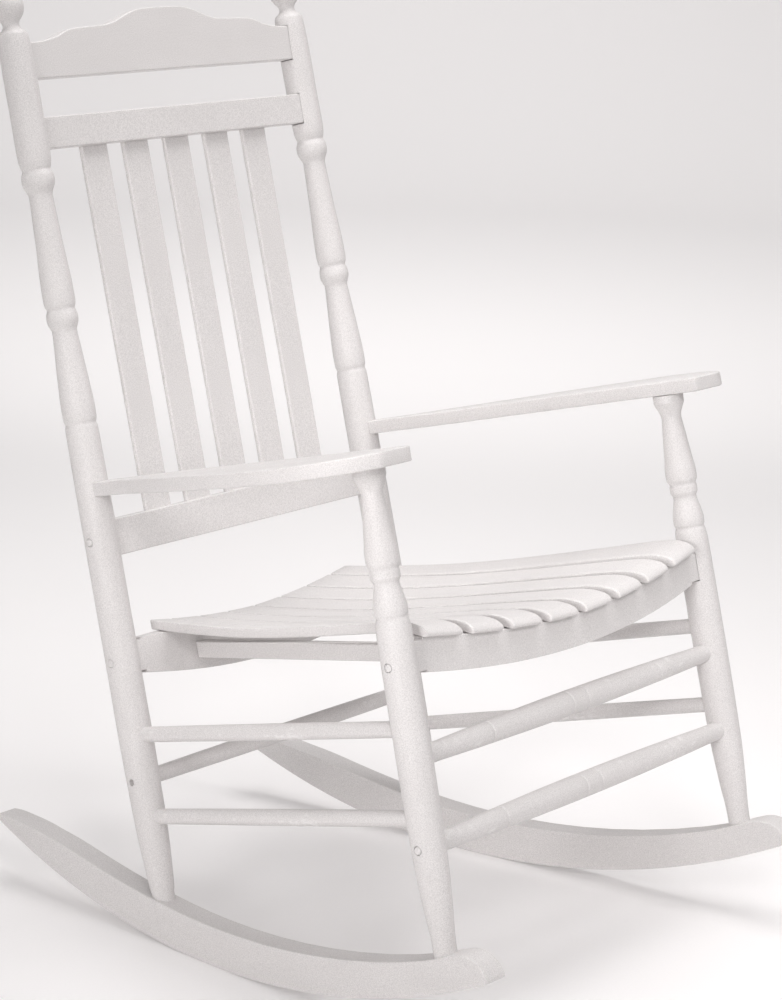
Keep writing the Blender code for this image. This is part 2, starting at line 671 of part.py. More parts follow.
def seat_slat(number):
    """One seat slat, wider at the front, dished with the others, and rounded over the front rail."""
    nose_radius = SEAT_SLAT_THICK / 2
    profile = [(y, 0.0) for y in SLAT_STATIONS] + [(SEAT_REAR_Y, 0.0), (SEAT_REAR_Y, SEAT_SLAT_THICK)]
    profile += [(y, SEAT_SLAT_THICK) for y in SLAT_STATIONS[::-1]]
    for i in range(1, NOSE_STEPS):
        turn = math.pi * i / NOSE_STEPS
        y = SLAT_STATIONS[0] + (SEAT_NOSE_Y - SLAT_STATIONS[0]) * math.sin(turn)
        profile.append((y, nose_radius * (1 + math.cos(turn))))
    loops = []
    for edge in (number - 1, number):
        inward = -1 if edge == number else 1
        if edge in (0, SEAT_SLATS):
            inward = 0
        loop = []
        for straight_y, up in profile:
            x = slat_edge(edge, straight_y) + inward * slat_gap(straight_y) / 2
            y = bowed(x, straight_y)
            loop.append((x, y, seat_under(x, y) + up))
        loops.append(loop)
    name = f"seat_slat_{number}"
    item = place(name, mesh_between(name, *loops), white_paint(name))
    soften(item)
    if number in (1, SEAT_SLATS):
        side = -1 if number == 1 else 1
        xs = sorted((side * POST_NOTCH_X, side * (POST_NOTCH_X + CUTTER_REACH)))
        ys = (SEAT_NOSE_Y - CUTTER_REACH, POST_NOTCH_Y)
        corner = seat_under(POST_NOTCH_X, POST_NOTCH_Y)
        cut(item, box_cutter(f"notch_{name}", xs, ys, (corner - CUTTER_REACH, corner + CUTTER_REACH)))


def arm(side_name, side):
    outline = [(side * x, y) for x, y in ARM_OUTLINE]
    loops = [[(x, y, z) for x, y in outline] for z in (ARM_BOTTOM, ARM_BOTTOM + ARM_THICK)]
    item = flat_piece("arm_" + side_name, *loops, edge=ARM_EDGE_ROUND)
    top, radius = ARM_TENON_TOP + GAP, ARM_TENON_RADIUS + GAP
    socket = turned(f"arm_socket_{side_name}", ((top, radius), (top - CUTTER_REACH, radius)), POST_STEPS)
    aim_along_post(socket, "front", side)
    cut(item, socket)
    profile = ((ARM_BOTTOM + CUTTER_REACH, ARM_COPE_RADIUS), (ARM_BOTTOM - CUTTER_REACH, ARM_COPE_RADIUS))
    cope = turned(f"arm_cope_{side_name}", profile, 2 * POST_STEPS)
    aim_along_post(cope, "rear", side)
    cut(item, cope)
    cut(item, dowel_hole(side_name, side))


def dowel_place(side):
    """The middle of the dowel that joins an arm to its rear post, and the way it points."""
    height = ARM_BOTTOM + ARM_THICK / 2
    axis = post_point("rear", side, height)
    return Vector((axis.x, axis.y - ARM_COPE_RADIUS, height)), Vector((0, 1, 0))


def dowel_hole(side_name, side):
    size = ARM_DOWEL_HALF + GAP
    hole = turned(
        f"dowel_hole_{side_name}_{len(cutters.objects)}",
        ((size, ARM_DOWEL_RADIUS + GAP), (-size, ARM_DOWEL_RADIUS + GAP)),
        SCREW_STEPS,
    )
    aim(hole, *dowel_place(side))
    return hole


def arm_dowel(side_name, side):
    name = "arm_dowel_" + side_name
    size = ARM_DOWEL_HALF
    profile = (
        (size, ARM_DOWEL_RADIUS - END_CHAMFER), (size - END_CHAMFER, ARM_DOWEL_RADIUS),
        (END_CHAMFER - size, ARM_DOWEL_RADIUS), (-size, ARM_DOWEL_RADIUS - END_CHAMFER),
    )
    item = turned(name, profile, SCREW_STEPS, paint(name + "_wood", (0.62, 0.47, 0.30), 0.6, 0.0))
    aim(item, *dowel_place(side))


def post_radius(which, height):
    profile = post_profile(which)
    for (high, wide), (low, narrow) in zip(profile, profile[1:]):
        if low <= height <= high:
            return narrow + (wide - narrow) * (height - low) / (high - low)
    return profile[-1][1]


def cross_screw(kind, held, which, height, plugged, side_name, side, pieces):
    """A screw from a post's outer side into the piece whose end it holds, under a plug or left open."""
    axis = post_point(which, side, height)
    radius = post_radius(which, height)
    outward = Vector((side, 0, 0))
    name = f"{kind}_screw_{side_name}"
    head = radius - COUNTERBORE_DEPTH
    item = turned(name, screw_profile(head), SCREW_STEPS, zinc(name))
    aim(item, axis, outward)
    bore = turned(f"bore_{name}", bore_profile(head, radius), SCREW_STEPS)
    aim(bore, axis, outward)
    cut(pieces[f"{which}_post_{side_name}"], bore)
    cut(pieces[held], bore)
    if plugged:
        plug_name = f"{kind}_plug_{side_name}"
        plug_radius = COUNTERBORE_RADIUS - GAP
        top = radius + GAP
        profile = (
            (top, plug_radius - END_CHAMFER), (top - END_CHAMFER, plug_radius),
            (top - PLUG_LENGTH, plug_radius),
        )
        plug = turned(plug_name, profile, SCREW_STEPS, white_paint(plug_name))
        aim(plug, axis, outward)


def build():
    pieces = {}
    for side_name, side in SIDES:
        rocker(side_name, side)
        for which in ("front", "rear"):
            pieces[f"{which}_post_{side_name}"] = post(which, side_name, side)
            foot_screw(which, side_name, side)
        arm(side_name, side)
        arm_dowel(side_name, side)
        seat_side_rail(side_name, side)
    for name, ends, height, radii, rings in stretcher_plan():
        start, end = (post_point(which, side, height) for which, side in ends)
        pieces[name] = stretcher(name, start, end, *radii, rings)
    back_rail("crest_rail", (CREST_BOTTOM, CREST_OUTLINE[0][1]), CREST_OUTLINE)
    upper = back_rail("upper_back_rail", UPPER_RAIL)
    lower = back_rail("lower_back_rail", LOWER_RAIL)
    pieces["lower_back_rail"] = lower
    for number, centre in enumerate(SLAT_CENTRES, 1):
        back_slat(number, centre)
        cut(upper, slat_mortise("upper", centre, True))
        cut(lower, slat_mortise("lower", centre, False))
    pieces["front_seat_rail"] = seat_rail(
        "front_seat_rail", "front", FRONT_RAIL_Y, FRONT_RAIL_BOTTOM, FRONT_RAIL_BOW, FRONT_RAIL_TENON,
        FRONT_RAIL_SHOULDER_X, face_bow=SEAT_FRONT_BOW,
    )
    pieces["rear_seat_rail"] = seat_rail(
        "rear_seat_rail", "rear", REAR_RAIL_Y, REAR_RAIL_BOTTOM, REAR_RAIL_BOW, REAR_RAIL_TENON,
        REAR_RAIL_SHOULDER_X, highest=REAR_RAIL_TOP,
    )
    for number in range(1, SEAT_SLATS + 1):
        seat_slat(number)
    for side_name, side in SIDES:
        for kind, held, which, height, plugged in CROSS_SCREWS:
            cross_screw(kind, held, which, height, plugged, side_name, side, pieces)


clear_scene()
chair = new_collection("rocking_chair")
cutters = new_collection("cutters")
frame = bpy.data.objects.new("chair_frame", None)
chair.objects.link(frame)
frame.rotation_euler.x = -LEAN
frame.location.y = -MIDDLE_Y
frame.location.z = ROCKER_RADIUS + ROCKER_CENTRE_Y * math.sin(LEAN) - ROCKER_CENTRE_Z * math.cos(LEAN)
build()
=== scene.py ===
"""Looks for the slat-back rocking chair: each wooden piece again at high resolution, in white satin paint
over wood grain, on a pale floor in soft studio light.

As in the CAD, pieces are drawn in the chair's own upright frame (X to the sitter's left, Y to the back,
Z up the posts), and CHAIR leans them back on the rockers. Sizes are in metres.
"""

import math

import bmesh
import bpy
from mathutils import Matrix, Vector


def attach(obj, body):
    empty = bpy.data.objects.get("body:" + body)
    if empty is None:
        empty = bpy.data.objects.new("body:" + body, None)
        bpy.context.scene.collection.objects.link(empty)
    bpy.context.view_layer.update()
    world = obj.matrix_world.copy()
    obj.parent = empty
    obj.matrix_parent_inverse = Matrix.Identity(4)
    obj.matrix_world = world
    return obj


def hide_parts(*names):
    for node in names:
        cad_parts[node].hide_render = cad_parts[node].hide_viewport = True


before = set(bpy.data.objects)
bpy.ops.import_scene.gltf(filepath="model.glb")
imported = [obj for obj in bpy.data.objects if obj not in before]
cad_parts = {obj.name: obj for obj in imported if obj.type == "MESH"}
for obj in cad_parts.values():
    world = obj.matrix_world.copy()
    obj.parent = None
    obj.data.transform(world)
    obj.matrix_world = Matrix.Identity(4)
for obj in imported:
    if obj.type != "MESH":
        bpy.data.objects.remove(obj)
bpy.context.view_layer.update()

# How the chair stands
LEAN = math.radians(14.32)
MIDDLE_Y = 0.14918
ROCKER_CENTRE_Y = -0.0671
ROCKER_CENTRE_Z = 0.9782
ROCKER_RADIUS = 0.9702
REST_Z = ROCKER_RADIUS + ROCKER_CENTRE_Y * math.sin(LEAN) - ROCKER_CENTRE_Z * math.cos(LEAN)
CHAIR = Matrix.Translation((0, -MIDDLE_Y, REST_Z)) @ Matrix.Rotation(-LEAN, 4, "X")

# A piece whose points are already places in the chair's frame
IN_PLACE = Matrix.Identity(4)

# Which way a board's grain runs: the turn that takes its own Z there. Up needs none
GRAIN_ACROSS = Matrix.Rotation(math.radians(90), 4, "Y")
GRAIN_BACK = Matrix.Rotation(math.radians(-90), 4, "X")

# Rockers
ROCKER_THICK = 0.034
ROCKER_EDGE = 0.0030
ROCKER_STEP = math.radians(0.8)
NOSE_ANGLE = math.radians(-13.3)
TAIL_ANGLE = math.radians(38.3)
# Depth of the board above its underside, as (Y of the place, depth)
ROCKER_DEPTHS = (
    (-0.2913, 0.0040), (-0.2895, 0.0140), (-0.2850, 0.0235), (-0.2765, 0.0320), (-0.2640, 0.0380),
    (-0.2450, 0.0400), (-0.2000, 0.0405), (-0.0200, 0.0465), (0.1600, 0.0500), (0.3000, 0.0500),
    (0.4100, 0.0445), (0.4630, 0.0350), (0.4880, 0.0280), (0.5140, 0.0170), (0.5280, 0.0090),
    (0.5350, 0.0035),
)

# Posts
FRONT_POST_Y = -0.219
FRONT_POST_X = 0.3055
FRONT_SPLAY = -0.0128
REAR_POST_Y = 0.2475
REAR_POST_X = 0.2621
REAR_SPLAY = -0.0065
REAR_RAKE = 0.0073
FRONT_FOOT_HEIGHT = 0.062
REAR_FOOT_HEIGHT = 0.112
FOOT_RADIUS = 0.0137
ARM_TENON_RADIUS = 0.0095
ARM_TENON_TOP = 0.6222
# Turned profiles from the top down, as (height, radius)
FRONT_POST_PROFILE = (
    (0.6114, 0.0188), (0.6100, 0.0192), (0.6025, 0.0192), (0.5985, 0.0180), (0.5930, 0.0155),
    (0.5830, 0.0126), (0.5710, 0.0136), (0.5550, 0.0153), (0.5280, 0.0180), (0.5140, 0.0196),
    (0.5040, 0.0192), (0.4975, 0.0165), (0.4945, 0.0174), (0.4880, 0.0174), (0.4820, 0.0147),
    (0.4740, 0.0158), (0.4650, 0.0178), (0.4530, 0.0196), (0.4470, 0.0193), (0.4430, 0.0180),
    (0.4390, 0.0192), (0.4250, 0.0204), (0.3950, 0.0207), (0.2850, 0.0209), (0.2250, 0.0206),
    (0.1690, 0.0198), (0.1170, 0.0170), (0.0700, FOOT_RADIUS), (0.0370, FOOT_RADIUS),
)
REAR_POST_PROFILE = (
    (1.2305, 0.0000), (1.2290, 0.0068), (1.2245, 0.0128), (1.2170, 0.0177), (1.2085, 0.0195),
    (1.2005, 0.0182), (1.1940, 0.0145), (1.1890, 0.0108), (1.1850, 0.0101), (1.1810, 0.0120),
    (1.1775, 0.0165), (1.1730, 0.0185), (1.1600, 0.0196), (1.1150, 0.0204), (1.0730, 0.0202),
    (1.0350, 0.0205), (1.0220, 0.0200), (1.0140, 0.0184), (1.0105, 0.0172), (1.0075, 0.0184),
    (1.0040, 0.0198), (0.9980, 0.0202), (0.9920, 0.0193), (0.9860, 0.0166), (0.9800, 0.0146),
    (0.9700, 0.0148), (0.9380, 0.0160), (0.9230, 0.0165), (0.8890, 0.0185), (0.8680, 0.0194),
    (0.8540, 0.0195), (0.8460, 0.0188), (0.8410, 0.0170), (0.8380, 0.0180), (0.8340, 0.0191),
    (0.8290, 0.0194), (0.8240, 0.0186), (0.8190, 0.0166), (0.8150, 0.0152), (0.8000, 0.0160),
    (0.7650, 0.0184), (0.7400, 0.0199), (0.7220, 0.0207), (0.7070, 0.0204), (0.7010, 0.0188),
    (0.6960, 0.0201), (0.6750, 0.0204), (0.6070, 0.0208), (0.3960, 0.0210), (0.3120, 0.0212),
    (0.2580, 0.0206), (0.2000, 0.0195), (0.1390, 0.0160), (0.1240, 0.0147),
    (0.1200, FOOT_RADIUS), (0.0840, FOOT_RADIUS),
)

# Turned stretchers
SIDE_STRETCHER_HEIGHTS = {"upper": 0.3166, "lower": 0.2151}
SIDE_STRETCHER_RADIUS = 0.0095
SIDE_STRETCHER_SWELL = 0.0005
FRONT_STRETCHER_HEIGHTS = {"upper": 0.2832, "lower": 0.1834}
FRONT_STRETCHER_END_RADIUS = 0.0115
FRONT_STRETCHER_MIDDLE_RADIUS = 0.0152
RING_PLACES = (0.015, 0.170)  # from the middle, to both sides
RING_HALF_WIDTH = 0.0016
RING_DEPTH = 0.0008
RING_CLEAR = 4 * RING_HALF_WIDTH
REAR_STRETCHER_HEIGHT = 0.2616
REAR_STRETCHER_RADIUS = 0.0100
REAR_STRETCHER_SWELL = 0.001
STRETCHER_SHORT_OF_AXIS = 0.003
STRETCHER_PLAIN_END = 0.030
STRETCHER_CURVE_STEPS = 5

# Back
RAIL_FRONT = -0.0096
RAIL_BACK = 0.0100
RAIL_END_SHORT_OF_AXIS = 0.006
CREST_BOTTOM = 1.1186
# The left half of the crest's top edge, ending at the middle, as (X, height)
CREST_OUTLINE = (
    (0.236, 1.1632), (0.220, 1.1635), (0.202, 1.1662), (0.188, 1.1692), (0.174, 1.1745), (0.163, 1.1766),
    (0.148, 1.1777), (0.107, 1.1790), (0.094, 1.1808), (0.081, 1.1843), (0.066, 1.1897), (0.051, 1.1942),
    (0.038, 1.1966), (0.020, 1.1974), (0.000, 1.1976),
)
# Lowest and highest edge
UPPER_RAIL = (1.0337, 1.0723)
LOWER_RAIL = (0.5351, 0.5800)
SLAT_CENTRES = (-0.1484, -0.0748, 0.0, 0.0748, 0.1484)
BACK_SLAT_WIDTH = 0.0447
BACK_SLAT_FRONT = 0.0010
BACK_SLAT_THICK = 0.0070
BACK_SLAT_TENON = 0.012

# Seat
SEAT_SLATS = 8
SEAT_SLAT_THICK = 0.0125
SEAT_SLAT_GAPS = (0.0165, 0.0035)  # at the front and at the rear
SEAT_REAR_Y = 0.2623
SEAT_REAR_HALF_WIDTH = 0.190
SEAT_FRONT_HALF_WIDTH = 0.2758
# How far the middles of the gaps are from the chair's middle, to both sides
SEAT_GAPS_FRONT = (0.0, 0.0700, 0.1385, 0.2060)
SEAT_GAPS_REAR = (0.0, 0.0520, 0.1040, 0.1550)
# Height of the slats' underside in the chair's middle, as (Y, height)
SEAT_UNDERSIDE = (
    (-0.262, 0.3822), (-0.252, 0.3862), (-0.243, 0.3893), (-0.233, 0.3921), (-0.222, 0.3937),
    (-0.200, 0.3947), (-0.120, 0.3956), (-0.050, 0.3962), (0.020, 0.3975), (0.090, 0.4003),
    (0.165, 0.4058), (0.215, 0.4107), (0.245, 0.4142), (0.270, 0.4175),
)
SEAT_NOSE_Y = -0.2575
SEAT_FRONT_BOW = 0.22
SEAT_NOSE_CENTRE_Y = -0.2455
# The underside rises to the sides by a factor, as (Y, factor), times a power of X
DISH_POWER = 1.75
DISH = ((-0.26, 0.262), (-0.10, 0.264), (0.09, 0.286), (0.18, 0.310), (0.26, 0.325))
SEAT_GAP = 0.0005
POST_NOTCH_X = 0.2700
POST_NOTCH_Y = -0.1945
FRONT_RAIL_Y = (-0.2310, -0.2100)
FRONT_RAIL_BOTTOM = 0.350
FRONT_RAIL_BOW = 0.33
FRONT_RAIL_TENON = (0.3765, 0.4110)
FRONT_RAIL_SHOULDER_X = 0.2680
REAR_RAIL_Y = (0.2340, 0.2540)
REAR_RAIL_BOTTOM = 0.3655
REAR_RAIL_BOW = 0.42
REAR_RAIL_TENON = (0.3925, 0.4300)
REAR_RAIL_TOP = 0.4325
REAR_RAIL_SHOULDER_X = 0.2360
SIDE_RAIL_FRONT_X = 0.2285
SIDE_RAIL_REAR_X = 0.1455
SIDE_RAIL_THICK = 0.018
SIDE_RAIL_HEIGHT = 0.0205
SIDE_RAIL_TOP_FRONT = 0.3975
SIDE_RAIL_TOP_REAR = 0.4085

# Arms
ARM_BOTTOM = 0.6117
ARM_THICK = 0.0175
# Outline of the left arm, as (X, Y), and the numbers of its sharp corners
ARM_OUTLINE = (
    (0.2500, 0.2380), (0.2475, 0.1500), (0.2515, 0.0700), (0.2620, -0.0200), (0.2725, -0.1200),
    (0.2840, -0.2726), (0.3380, -0.2726), (0.3520, -0.2655), (0.3650, -0.2555), (0.3765, -0.2415),
    (0.3855, -0.2245), (0.3912, -0.2075), (0.3940, -0.1880), (0.3930, -0.1560), (0.3860, -0.1180),
    (0.3745, -0.0720), (0.3590, -0.0230), (0.3410, 0.0280), (0.3220, 0.0780), (0.3025, 0.1280),
    (0.2855, 0.1750), (0.2755, 0.2120), (0.2720, 0.2380),
)
ARM_CORNERS = (0, 5, 6, 22)
ARM_COPE_RADIUS = 0.0211

# Screws and plugs
COUNTERBORE_RADIUS = 0.0048
COUNTERBORE_DEPTH = 0.0068
PLUG_LENGTH = 0.0042
PLUG_SEAM = 0.0006
PLUG_GAP_BELOW = 0.0002
# A plug's domed end: height above the post's surface, and share of the plug's radius
PLUG_DOME = ((0.0006, 0.0), (0.0005, 0.6), (0.0001, 0.93), (-0.0005, 1.0))
BORE_SEGMENTS = 32
# The piece that each screw holds, its post, its height, and whether a plug covers it
CROSS_SCREWS = (
    ("front_rail", "front", 0.3895, True),
    ("front_stretcher", "front", FRONT_STRETCHER_HEIGHTS["lower"], True),
    ("back_rail", "rear", 0.5576, True),
    ("rear_rail", "rear", 0.4088, True),
    ("rear_stretcher", "rear", REAR_STRETCHER_HEIGHT, False),
)

# Finish of the meshes
TURNED_SEGMENTS = 56
SPAN_STEPS = 4
LONG_SPAN = 0.06
SEAT_RAIL_STEPS = 60
SEAT_COLUMNS = 6
SEAT_STATIONS = 56
SEAT_STATION_POWER = 1.25  # above 1, so that stations crowd to the front
SEAT_NOSE_STEPS = 12
BOARD_EDGE = 0.0018
SLAT_EDGE = 0.0022
ARM_EDGE = 0.0022
BEVEL_SEGMENTS = 6
BEVEL_FROM = math.radians(35)
CREASE = math.radians(40)
ARM_CREASE = math.radians(20)
MORTISE_GAP = 0.0012
CUTTER_REACH = 0.040
SIDES = (("left", 1), ("right", -1))

# Colours: paint, the hidden screws and dowels, and a pattern that isn't stretched
PAINT_LIGHT = (0.790, 0.767, 0.761)
PAINT_DARK = (0.715, 0.693, 0.687)
PAINT_SPECKLE = (0.590, 0.570, 0.565)
PAINT_RUBBED = (0.85, 0.835, 0.83)
ZINC_DARK = (0.34, 0.34, 0.35)
ZINC_LIGHT = (0.50, 0.50, 0.50)
WOOD_LIGHT = (0.66, 0.50, 0.33)
WOOD_DARK = (0.48, 0.34, 0.20)
EVEN = (1.0, 1.0, 1.0)

# Camera: its place, its turn about Z and its tilt. A level one would suit a chair that leans SEEN_LEAN,
# so it leans with the chair by the rest
CAMERA_PLACE = (-2.8684, -2.2730, 1.3879)
CAMERA_AZIMUTH = math.radians(-51.3514)
CAMERA_TILT = math.radians(90 - 11.8745)
SEEN_LEAN = math.radians(12.2160)
CAMERA_LEAN = SEEN_LEAN - LEAN
CAMERA_LENS = 110.18
CAMERA_FAR = 200.0

# Soft lamps: where each is, what it points at, how wide it is, how wide its beam is in degrees, watts.
# Left and right in their names are the camera's
LIGHTS = (
    ("top", (0.2, 0.0, 3.0), (0.0, 0.0, 0.6), 2.4, 180, 54.0),
    ("left_low", (-2.7, -0.5, 0.8), (0.0, 0.0, 0.6), 1.2, 180, 5.2),
    ("left_pool", (-2.7, -0.8, 1.0), (0.3, 0.0, 0.5), 0.8, 40, 1.8),
    ("seat_pool", (-2.2, -2.4, 2.4), (0.35, 0.1, 0.35), 0.8, 36, 1.6),
    ("right_pool", (1.2, -2.6, 2.2), (0.4, 0.0, 0.2), 0.8, 45, 1.1),
    ("back_left", (-1.8, 2.2, 1.6), (0.0, 0.0, 0.6), 1.4, 180, 6.0),
    ("floor_front", (0.2, -1.9, 3.0), (0.5, -1.0, 0.0), 1.0, 60, 1.7),
    ("floor_behind", (0.4, 0.3, 4.0), (3.4, 2.7, 0.0), 1.0, 90, 20.0),
    ("wall_behind", (0.4, 0.3, 4.0), (7.0, 5.4, 1.2), 1.0, 90, 82.0),
)
LAMP_COLOUR = (1.0, 0.985, 0.982)
WORLD_COLOUR = (1.0, 0.985, 0.985)
WORLD_STRENGTH = 0.25

# Studio: a white bowl with a flat middle, whose paper glows a little (painted light) and turns darker up
# its walls (painted shade)
BOWL_FLAT = 6.5
BOWL_RADIUS = 9.5
BOWL_HEIGHT = 6.0
BOWL_THICK = 0.05
BOWL_STEPS = 24
BOWL_SEGMENTS = 96
PAPER_DARK = (0.80, 0.785, 0.785)
PAPER_LIGHT = (0.84, 0.825, 0.825)
# The colour the paper turns to high up the walls: painted shade, darker towards the top
PAPER_PAINTED_SHADE = (0.50, 0.485, 0.485)
# How strongly the paper glows: painted light, which brightens the floor and walls and lights the chair from
# below
PAPER_GLOW = 0.15


# ---------------------------------------------------------------- shapes


def monotone(places, values, place):
    """A smooth value at a place, with no overshoot between the (rising) places given."""
    i = 0
    while i < len(places) - 2 and place > places[i + 1]:
        i += 1
    slopes = [(values[j + 1] - values[j]) / (places[j + 1] - places[j]) for j in range(len(places) - 1)]

    def tangent(j):
        if j == 0:
            return slopes[0]
        if j == len(places) - 1:
            return slopes[-1]
        if slopes[j - 1] * slopes[j] <= 0:
            return 0.0
        return 2 * slopes[j - 1] * slopes[j] / (slopes[j - 1] + slopes[j])

    span = places[i + 1] - places[i]
    t = (place - places[i]) / span
    return (
        (2 * t**3 - 3 * t**2 + 1) * values[i]
        + (t**3 - 2 * t**2 + t) * tangent(i) * span
        + (3 * t**2 - 2 * t**3) * values[i + 1]
        + (t**3 - t**2) * tangent(i + 1) * span
    )


def interpolate(stations, place_at):
    """Smooth value at a place between (place, value) stations, as the CAD has it."""
    for i in range(len(stations) - 2, -1, -1):
        if place_at >= stations[i][0] or i == 0:
            break
    before = stations[max(i - 1, 0)]
    start, end = stations[i], stations[i + 1]
    after = stations[min(i + 2, len(stations) - 1)]
    span = end[0] - start[0]
    t = (place_at - start[0]) / span
    slope_in = (end[1] - before[1]) / (end[0] - before[0]) * span
    slope_out = (after[1] - start[1]) / (after[0] - start[0]) * span
    return (
        (2 * t**3 - 3 * t**2 + 1) * start[1]
        + (t**3 - 2 * t**2 + t) * slope_in
        + (3 * t**2 - 2 * t**3) * end[1]
        + (t**3 - t**2) * slope_out
    )


def flowing(points, steps):
    """A smooth open line through 2-D points, each span divided into steps."""
    found = []
    for i in range(len(points) - 1):
        before, start = Vector(points[max(i - 1, 0)]), Vector(points[i])
        end, after = Vector(points[i + 1]), Vector(points[min(i + 2, len(points) - 1)])
        for step in range(steps):
            t = step / steps
            found.append(tuple(
                0.5 * (2 * start + (end - before) * t + (2 * before - 5 * start + 4 * end - after) * t**2
                       + (3 * start - before - 3 * end + after) * t**3)
            ))
    found.append(tuple(points[-1]))
    return found


def post_point(which, side, height):
    """A point on the axis of one post, at a height in the chair's frame."""
    if which == "front":
        return Vector((side * (FRONT_POST_X + FRONT_SPLAY * height), FRONT_POST_Y, height))
    return Vector((side * (REAR_POST_X + REAR_SPLAY * height), REAR_POST_Y + REAR_RAKE * height, height))


def post_profile(which):
    return FRONT_POST_PROFILE if which == "front" else REAR_POST_PROFILE


def post_radius(which, height):
    profile = post_profile(which)[::-1]
    return monotone([z for z, _ in profile], [radius for _, radius in profile], height)


def rail_y(height):
    """How far back the rear posts' axes are at a height."""
    return post_point("rear", 1, height).y


def rail_end_x(which, height):
    return post_point(which, 1, height).x - RAIL_END_SHORT_OF_AXIS


def side_line(y):
    """Distance of a side's middle plane from the chair's middle, which narrows to the back."""
    front = post_point("front", 1, FRONT_FOOT_HEIGHT)
    rear = post_point("rear", 1, REAR_FOOT_HEIGHT)
    return front.x + (rear.x - front.x) * (y - front.y) / (rear.y - front.y)


def front_bow(x):
    """How far back the seat's front edge is at x, against its middle, as a share of the seat's length."""
    return SEAT_FRONT_BOW * x * x / (SEAT_REAR_Y - SEAT_NOSE_Y)


def bowed(x, y):
    """Where a place on a seat with a straight front goes on this one, whose front edge is bowed."""
    return y + front_bow(x) * (SEAT_REAR_Y - y)


def seat_under(x, y):
    """Height of the slats' underside."""
    straight_y = (y - front_bow(x) * SEAT_REAR_Y) / (1 - front_bow(x))
    return interpolate(SEAT_UNDERSIDE, straight_y) + interpolate(DISH, straight_y) * abs(x) ** DISH_POWER


def aimed(start, direction):
    """The matrix that puts a shape's origin at start, with its Z along direction."""
    turn = Vector((0, 0, 1)).rotation_difference(Vector(direction))
    return Matrix.Translation(start) @ turn.to_matrix().to_4x4()


def along_post(which, side):
    base = post_point(which, side, 0.0)
    return aimed(base, post_point(which, side, 1.0) - base)


# ---------------------------------------------------------------- pieces


def new_mesh(name, body):
    bmesh.ops.recalc_face_normals(body, faces=body.faces)
    mesh = bpy.data.meshes.new(name)
    body.to_mesh(mesh)
    body.free()
    mesh.shade_smooth()
    return mesh


def lofted(name, loops, panels=None):
    """A closed body through matching outlines, capped at both ends, in one face or in panels."""
    body = bmesh.new()
    rows = [[body.verts.new(point) for point in loop] for loop in loops]
    count = len(loops[0])
    for panel in panels or [range(count)]:
        body.faces.new([rows[0][i] for i in panel])
        body.faces.new([rows[-1][i] for i in reversed(panel)])
    for first, second in zip(rows, rows[1:]):
        for i in range(count):
            after = (i + 1) % count
            body.faces.new((first[after], first[i], second[i], second[after]))
    return new_mesh(name, body)


def smooth_profile(profile):
    """More points on a turned profile, smooth in both height and radius."""
    lengths = [0.0]
    for (z0, r0), (z1, r1) in zip(profile, profile[1:]):
        lengths.append(lengths[-1] + math.hypot(z1 - z0, r1 - r0))
    heights, radii = [z for z, _ in profile], [r for _, r in profile]
    found = []
    for start, end in zip(lengths, lengths[1:]):
        steps = SPAN_STEPS * (2 if end - start > LONG_SPAN else 1)
        for step in range(steps):
            place = start + (end - start) * step / steps
            found.append((monotone(lengths, heights, place), monotone(lengths, radii, place)))
    found.append(profile[-1])
    return found


def turned_mesh(name, profile, segments=TURNED_SEGMENTS):
    """Turns a list of (height, radius) about Z, closing both ends."""
    body = bmesh.new()
    rows = []
    for height, radius in profile:
        if radius <= 0:
            rows.append([body.verts.new((0, 0, height))])
            continue
        turns = [2 * math.pi * i / segments for i in range(segments)]
        rows.append([body.verts.new((radius * math.cos(a), radius * math.sin(a), height)) for a in turns])
    for first, second in zip(rows, rows[1:]):
        for i in range(segments):
            after = (i + 1) % segments
            corners = [first[i % len(first)], first[after % len(first)]]
            corners += [second[after % len(second)], second[i % len(second)]]
            body.faces.new(list(dict.fromkeys(corners)))
    for row in (rows[0], rows[-1]):
        if len(row) > 1:
            body.faces.new(row)
    return new_mesh(name, body)


def soften(item, width):
    bevel = item.modifiers.new("edges", "BEVEL")
    bevel.width = width
    bevel.segments = BEVEL_SEGMENTS
    bevel.limit_method = "ANGLE"
    bevel.angle_limit = BEVEL_FROM
    bevel.harden_normals = True


def cut(item, cutters, crease=CREASE):
    """Takes the cutters' shapes out of a piece, and leaves no cutter behind."""
    tools = []
    for number, (mesh, matrix) in enumerate(cutters):
        tool = bpy.data.objects.new(f"tool_{number}", mesh)
        tools.append(tool)
        bpy.context.scene.collection.objects.link(tool)
        tool.matrix_world = CHAIR @ matrix
        boolean = item.modifiers.new(tool.name, "BOOLEAN")
        boolean.operation = "DIFFERENCE"
        boolean.solver = "EXACT"
        boolean.object = tool
    bpy.context.view_layer.update()
    graph = bpy.context.evaluated_depsgraph_get()
    shaped = bpy.data.meshes.new_from_object(item.evaluated_get(graph))
    item.modifiers.clear()
    item.data = shaped
    for tool in tools:
        bpy.data.objects.remove(tool)
    shaped.set_sharp_from_angle(angle=crease)


def box_mesh(name, xs, ys, zs):
    corners = ((xs[0], zs[0]), (xs[1], zs[0]), (xs[1], zs[1]), (xs[0], zs[1]))
    return lofted(name, [[(x, y, z) for x, z in corners] for y in ys])


def fit(name, mesh, matrix, paint, grain=None):
    """Puts a piece in place of its CAD node. With a grain, its mesh is turned so that Z runs along it."""
    if grain:
        mesh.transform(grain.inverted())
        matrix = matrix @ grain
    item = bpy.data.objects.new(name + "_fine", mesh)
    bpy.context.scene.collection.objects.link(item)
    item.matrix_world = CHAIR @ matrix
    mesh.materials.append(paint)
    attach(item, "root")
    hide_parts(name)
    return item


# ---------------------------------------------------------------- chair


def arc_point(angle, radius):
    """A point on an arc about the rockers' centre, at an angle back from straight down the posts."""
    return ROCKER_CENTRE_Y + radius * math.sin(angle), ROCKER_CENTRE_Z - radius * math.cos(angle)


